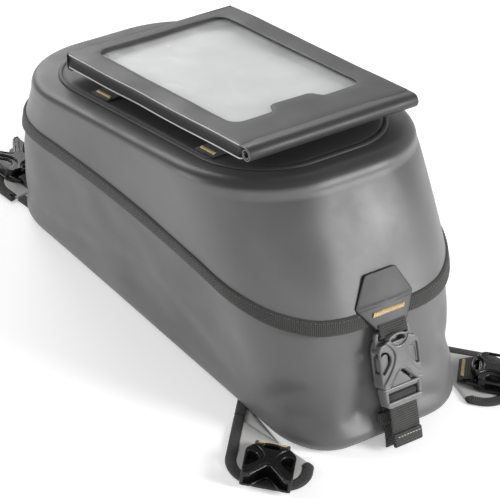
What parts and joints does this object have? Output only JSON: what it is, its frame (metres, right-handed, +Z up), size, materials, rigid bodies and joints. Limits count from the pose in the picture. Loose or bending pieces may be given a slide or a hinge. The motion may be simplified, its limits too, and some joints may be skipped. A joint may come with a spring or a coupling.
{
  "type": "tank bag",
  "caption": "Wedge-shaped soft tank bag with a hinged cap lid, front strap buckle, corner holding wings with buckles and a removable clear-window pouch on top.",
  "frame": {"origin": "underside of the base panel, on the bag's centre plane, near the middle of its length", "axes": "+Z up from the tank, X across the motorcycle, -Y towards the rider (tall buckled end), +Y towards the shallow end"},
  "size_m": [0.2632, 0.4321, 0.1946],
  "materials": {
    "wall_fabric": "coated tarpaulin, matt",
    "lid_fabric": "coated tarpaulin, matt",
    "panel_fabric": "darker coated fabric, matt",
    "binding": "ribbed woven tape",
    "webbing": "ribbed 25 mm webbing",
    "thread": "gold bar tack thread",
    "foam": "closed-cell foam",
    "board": "stiff plastic board",
    "patch": "laser-cut coated patch",
    "buckle_grey": "satin moulded plastic",
    "buckle_black": "glossy moulded plastic",
    "wing_pad": "light grey lining fabric",
    "pouch_grey": "coated sheet with pale cut edges",
    "pouch_pale": "pale backing sheet",
    "clear_film": "clear flexible film"
  },
  "bodies": {
    "bag": {"body_shell": "wall_fabric", "opening_collar": "panel_fabric", "base_panel": "panel_fabric", "base_board": "board", "lid_hinge_strip": "panel_fabric", "closure_strap": "webbing", "strap_keeper": "webbing"},
    "lid": {"lid_shell": "lid_fabric", "lid_binding": "binding", "lid_top_panel": "panel_fabric", "lid_stiffener": "foam", "lid_cross_straps": "webbing", "lid_cross_bartacks": "thread", "hex_patch": "patch", "hex_bartack": "thread", "closure_tab": "webbing", "closure_female": "buckle_grey"},
    "male_buckle": {"closure_male": "buckle_grey", "strap_tail": "webbing"},
    "latch_left": {"latch_left": "buckle_grey"},
    "latch_right": {"latch_right": "buckle_grey"},
    "pouch": {"pouch_back": "pouch_grey", "pouch_backing": "pouch_pale", "pouch_gusset": "pouch_grey", "pouch_frame": "pouch_grey", "pouch_window": "clear_film", "pouch_roll": "pouch_grey", "pouch_grip_pads": "webbing"},
    "pouch_flap": {"pouch_flap": "pouch_grey"},
    "wing_front_left": {"wing_front_left": "wing_pad", "wing_edge_front_left": "binding"},
    "wing_buckle_front_left": {"wing_tab_front_left": "webbing", "wing_buckle_front_left": "buckle_black", "tab_bartack_front_left": "thread"},
    "wing_front_right": {"wing_front_right": "wing_pad", "wing_edge_front_right": "binding"},
    "wing_buckle_front_right": {"wing_tab_front_right": "webbing", "wing_buckle_front_right": "buckle_black", "tab_bartack_front_right": "thread"},
    "wing_rear_left": {"wing_rear_left": "wing_pad", "wing_edge_rear_left": "binding"},
    "wing_buckle_rear_left": {"wing_tab_rear_left": "webbing", "wing_buckle_rear_left": "buckle_black", "tab_bartack_rear_left": "thread"},
    "wing_rear_right": {"wing_rear_right": "wing_pad", "wing_edge_rear_right": "binding"},
    "wing_buckle_rear_right": {"wing_tab_rear_right": "webbing", "wing_buckle_rear_right": "buckle_black", "tab_bartack_rear_right": "thread"}
  },
  "joints": [
    {"name": "lid_open", "type": "hinge", "parent": "bag", "child": "lid", "pos_m": [0, 0.1942, 0.0768], "axis": [-1, 0, 0], "range_deg": [0, 100]},
    {"name": "buckle_release", "type": "slide", "parent": "bag", "child": "male_buckle", "axis": [0, -0.4067, -0.9135], "range_m": [0, 0.03], "deforming": ["latch_left", "latch_right"]},
    {"name": "latch_right_press", "type": "hinge", "parent": "male_buckle", "child": "latch_right", "pos_m": [0.0106, -0.18183, 0.04707], "axis": [0, -0.9135, 0.4067], "range_deg": [0, 9], "stiffness_Nm_per_rad": 0.02},
    {"name": "latch_left_press", "type": "hinge", "parent": "male_buckle", "child": "latch_left", "pos_m": [-0.0106, -0.18183, 0.04707], "axis": [0, 0.9135, -0.4067], "range_deg": [0, 9]},
    {"name": "wing_flex_front_left", "type": "hinge", "parent": "bag", "child": "wing_front_left", "pos_m": [-0.07949, -0.15049, 0.0012], "axis": [-0.22, 0.9755, 0], "range_deg": [-20, 10]},
    {"name": "buckle_lift_front_left", "type": "hinge", "parent": "wing_front_left", "child": "wing_buckle_front_left", "pos_m": [-0.08671, -0.15771, 0.0044], "axis": [-0.7071, 0.7071, 0], "range_deg": [0, 35]},
    {"name": "wing_flex_front_right", "type": "hinge", "parent": "bag", "child": "wing_front_right", "pos_m": [0.07949, -0.15049, 0.0012], "axis": [-0.22, -0.9755, 0], "range_deg": [-20, 10]},
    {"name": "buckle_lift_front_right", "type": "hinge", "parent": "wing_front_right", "child": "wing_buckle_front_right", "pos_m": [0.08671, -0.15771, 0.0044], "axis": [-0.7071, -0.7071, 0], "range_deg": [0, 35]},
    {"name": "wing_flex_rear_left", "type": "hinge", "parent": "bag", "child": "wing_rear_left", "pos_m": [-0.054, 0.177, 0.0012], "axis": [0.9903, 0.1392, 0], "range_deg": [-20, 10]},
    {"name": "buckle_lift_rear_left", "type": "hinge", "parent": "wing_rear_left", "child": "wing_buckle_rear_left", "pos_m": [-0.05446, 0.18027, 0.0044], "axis": [0.9903, 0.1392, 0], "range_deg": [0, 35]},
    {"name": "wing_flex_rear_right", "type": "hinge", "parent": "bag", "child": "wing_rear_right", "pos_m": [0.054, 0.177, 0.0012], "axis": [0.9903, -0.1392, 0], "range_deg": [-20, 10]},
    {"name": "buckle_lift_rear_right", "type": "hinge", "parent": "wing_rear_right", "child": "wing_buckle_rear_right", "pos_m": [0.05446, 0.18027, 0.0044], "axis": [0.9903, -0.1392, 0], "range_deg": [0, 35]},
    {"name": "pouch_lift", "type": "slide", "parent": "lid", "child": "pouch", "axis": [0, 0.2113, 0.9774], "range_m": [0, 0.06]},
    {"name": "flap_open", "type": "hinge", "parent": "pouch", "child": "pouch_flap", "pos_m": [0.006, 0.1441, 0.14957], "axis": [1, 0, 0], "range_deg": [0, 120]}
  ],
  "couplings": [
    {"joint": "latch_left_press", "follows": "latch_right_press", "ratio": 1}
  ]
}
